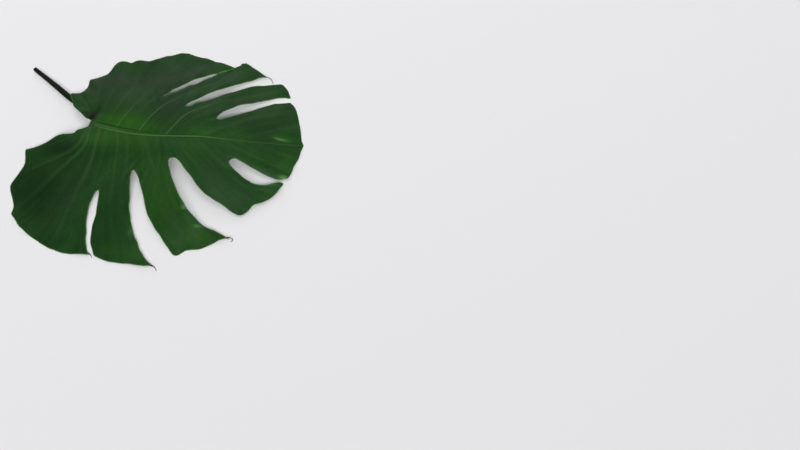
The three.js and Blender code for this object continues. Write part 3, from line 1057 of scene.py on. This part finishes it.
# Dull paler underside with raised veins
def underside_material():
    material, tree, shader = new_material("leaf_underside")
    place = object_place(tree)
    broad = ranged(tree, noise(tree, place, UNDERSIDE_SCALE, ROUGH_DETAIL), *SOFT_NOISE)
    green = blended(tree, broad, colour(*UNDERSIDE_DEEP), colour(*UNDERSIDE_PALE))
    line = along_veins(tree, "vein_band", UNDER_VEIN_WIDTHS, UNDER_VEIN_FADES)
    raised = calculated(tree, "MULTIPLY", line, UNDER_VEIN_STRENGTH)
    green = blended(tree, raised, green, colour(*UNDERSIDE_VEIN))
    feed(tree, shader.inputs["Base Color"], green)
    gloss = ranged(tree, noise(tree, place, UNDERSIDE_GLOSS_SCALE), *SOFT_NOISE, *UNDERSIDE_ROUGHNESS)
    feed(tree, shader.inputs["Roughness"], gloss)
    shader.inputs["Specular IOR Level"].default_value = UNDERSIDE_SHINE
    grain = calculated(tree, "MULTIPLY", noise(tree, place, UNDERSIDE_GRAIN_SCALE), GRAIN_RELIEF)
    bumped(tree, shader, calculated(tree, "ADD", line, grain), *UNDERSIDE_BUMP)
    return material


# Thin pale edge of the blade
def rim_material():
    material, tree, shader = new_material("leaf_rim")
    place = object_place(tree)
    tone = ranged(tree, noise(tree, place, RIM_SCALE, ROUGH_DETAIL), *SOFT_NOISE)
    feed(tree, shader.inputs["Base Color"], blended(tree, tone, colour(*RIM_DEEP), colour(*RIM_PALE)))
    feed(tree, shader.inputs["Roughness"], ranged(tree, tone, 0.0, 1.0, *RIM_ROUGHNESS))
    bumped(tree, shader, noise(tree, place, GRAIN_SCALE), *RIM_BUMP)
    return material


# Nearly black green stalk with fine lengthwise lines, paler where it is a rib under the blade
def stalk_material():
    material, tree, shader = new_material("leaf_stalk")
    run = Vector(STALK_POINTS[-1]) - Vector(STALK_POINTS[0])
    lengthwise = object_place(tree, math.atan2(run.y, run.x), (STREAK_LENGTH, STREAK_WIDTH, STREAK_WIDTH))
    streaks = ranged(tree, noise(tree, lengthwise, 1.0, ROUGH_DETAIL), *STEEP_NOISE)
    dark = blended(tree, streaks, colour(*STALK_DARK), colour(*STALK_PALE))
    rib = blended(tree, streaks, colour(*RIB_UNDER_DEEP), colour(*RIB_UNDER_PALE))
    on_rib = calculated(tree, "MULTIPLY", ranged(tree, field(tree, "rib_along"), *ON_BLADE),
                        ranged(tree, field(tree, "vein_out"), *RIB_TONE_REACH, 1.0, 0.0))
    feed(tree, shader.inputs["Base Color"], blended(tree, on_rib, dark, rib))
    feed(tree, shader.inputs["Roughness"], ranged(tree, streaks, 0.0, 1.0, *STALK_ROUGHNESS))
    shader.inputs["Specular IOR Level"].default_value = STALK_SHINE
    bumped(tree, shader, streaks, *STALK_BUMP)
    return material


# Cut end of the stalk: moist pale brown pith with the dark dots of its vessels
def cut_material():
    material, tree, shader = new_material("stalk_cut")
    dots = tree.nodes.new("ShaderNodeTexVoronoi")
    dots.inputs["Scale"].default_value = VESSEL_SCALE
    tree.links.new(object_place(tree), dots.inputs["Vector"])
    core = ranged(tree, dots.outputs["Distance"], *VESSEL_WIDTHS)
    feed(tree, shader.inputs["Base Color"], blended(tree, core, colour(*VESSEL_DARK), colour(*PITH)))
    feed(tree, shader.inputs["Roughness"], ranged(tree, core, 0.0, 1.0, *CUT_ROUGHNESS))
    bumped(tree, shader, core, *CUT_BUMP)
    return material


# All finishes of the leaf, in the order of their numbers
def leaf_materials():
    return [upper_side_material(), underside_material(), rim_material(), stalk_material(), cut_material()]


def make_camera():
    centre = JOINT + Vector((*PICTURE_CENTRE, 0))
    back = Vector((math.sin(VIEW_TURN), -math.cos(VIEW_TURN), math.tan(VIEW_ELEVATION))).normalized()
    data = bpy.data.cameras.new("camera")
    data.sensor_width = SENSOR_WIDTH_MM
    data.lens = FOCAL_LENGTH_PX / PICTURE_WIDTH_PX * SENSOR_WIDTH_MM
    camera = bpy.data.objects.new("camera", data)
    camera.location = centre + VIEW_DISTANCE * back
    camera.rotation_euler = (-back).to_track_quat("-Z", "Y").to_euler()
    bpy.context.scene.collection.objects.link(camera)
    bpy.context.scene.camera = camera


def make_floor():
    mesh = bmesh.new()
    bmesh.ops.create_grid(mesh, x_segments=1, y_segments=1, size=FLOOR_SIZE / 2)
    material, _, shader = new_material("floor")
    shader.inputs["Base Color"].default_value = FLOOR_COLOUR
    shader.inputs["Roughness"].default_value = FLOOR_ROUGHNESS
    shader.inputs["Specular IOR Level"].default_value = FLOOR_SHINE
    new_object("floor", mesh, [material])


# Large soft lamp, facing the leaf
def make_lamp(name, place, size, power):
    data = bpy.data.lights.new(name, "AREA")
    data.size = size
    data.energy = power
    lamp = bpy.data.objects.new(name, data)
    lamp.location = place
    lamp.rotation_euler = (-Vector(place)).to_track_quat("-Z", "Y").to_euler()
    bpy.context.scene.collection.objects.link(lamp)


# Soft lamp so far off that it lights the whole floor evenly
def make_far_lamp(name, direction, spread, strength):
    data = bpy.data.lights.new(name, "SUN")
    data.angle = math.radians(spread)
    data.energy = strength
    lamp = bpy.data.objects.new(name, data)
    lamp.rotation_euler = (-Vector(direction)).to_track_quat("-Z", "Y").to_euler()
    bpy.context.scene.collection.objects.link(lamp)


# The room looks pale but gives little light of its own
def make_light():
    world = bpy.data.worlds.new("studio")
    world.use_nodes = True
    tree = world.node_tree
    background = tree.nodes["Background"]
    background.inputs["Color"].default_value = ROOM_COLOUR
    seen = tree.nodes.new("ShaderNodeLightPath").outputs["Is Camera Ray"]
    feed(tree, background.inputs["Strength"], ranged(tree, seen, 0.0, 1.0, ROOM_LIGHT, ROOM_LOOK))
    bpy.context.scene.world = world
    for name, (direction, spread, strength) in FAR_LAMPS.items():
        make_far_lamp(name, direction, spread, strength)
    for name, (place, size, power) in NEAR_LAMPS.items():
        make_lamp(name, place, size, power)
    bpy.context.scene.view_settings.view_transform = "Standard"


make_camera()
make_floor()
make_light()
make_leaf()
